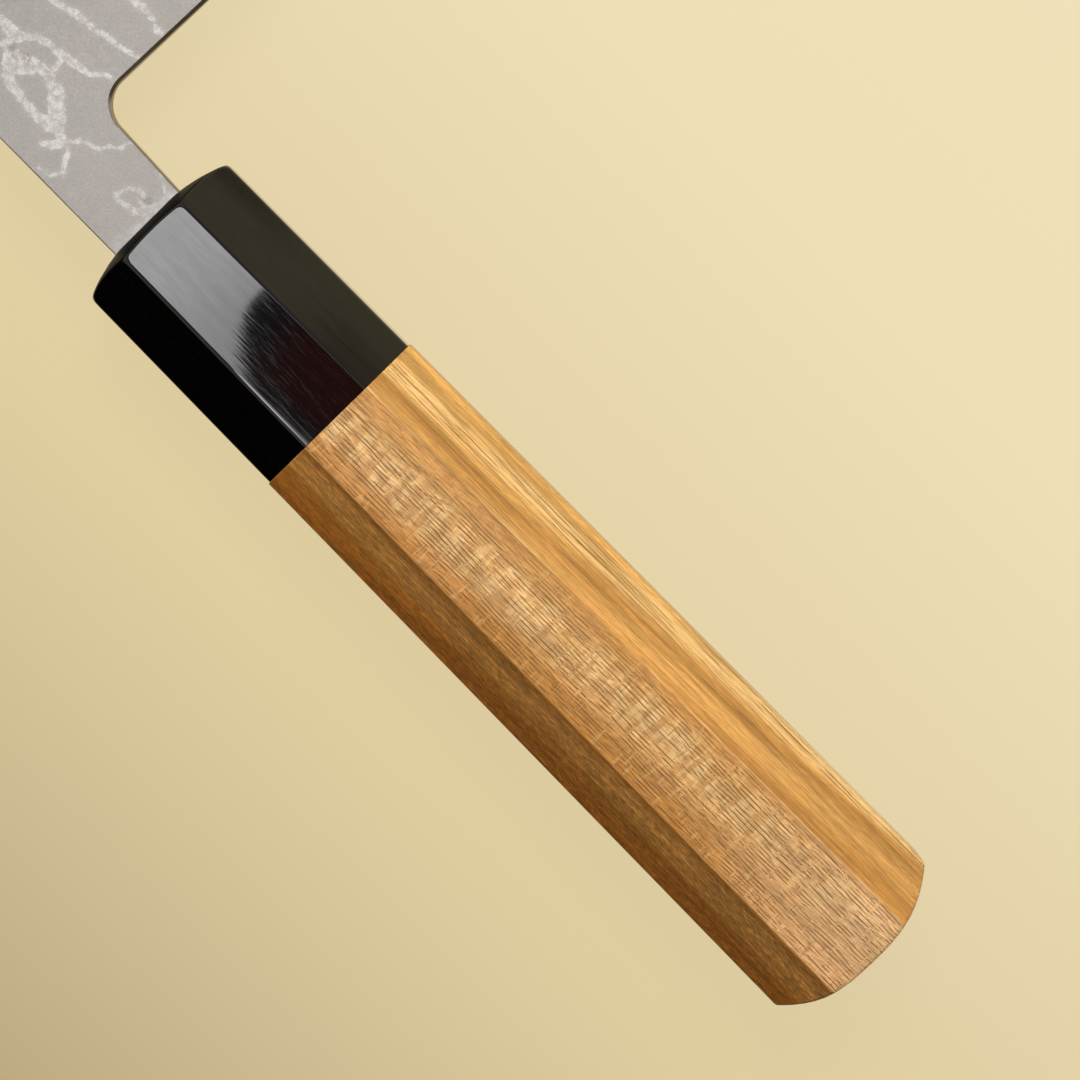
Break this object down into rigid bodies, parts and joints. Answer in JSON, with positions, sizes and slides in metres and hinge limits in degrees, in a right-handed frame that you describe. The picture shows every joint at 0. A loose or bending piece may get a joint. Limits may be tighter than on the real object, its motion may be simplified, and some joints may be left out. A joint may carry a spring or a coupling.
{
  "type": "gyuto knife",
  "caption": "Gyuto chef's knife with a laminated damascus-clad blade and an octagonal wooden handle with a black horn ferrule.",
  "frame": {"origin": "middle of the part's box, on its underside", "axes": "+X from the handle to the tip, +Y from the edge to the spine, +Z out of the blade's right face"},
  "size_m": [0.3568, 0.0536, 0.0217],
  "materials": {
    "core_steel": "fine satin, polished at the edge",
    "damascus_steel": "satin grey ground with brighter, ragged layer lines",
    "horn": "buffalo horn polished to a high gloss, brown-black",
    "cherry_wood": "satin, fine dark pores along the grain, pale cross curl",
    "dowel_wood": "plain sawn hardwood",
    "dark_resin": "dark cast resin",
    "epoxy": "amber epoxy"
  },
  "bodies": {
    "root": {"core_steel": "core_steel", "cladding_right": "damascus_steel", "cladding_left": "damascus_steel", "ferrule": "horn", "handle_body": "cherry_wood", "dowel": "dowel_wood", "mouth_seal": "dark_resin", "tang_bedding": "epoxy"}
  },
  "joints": []
}
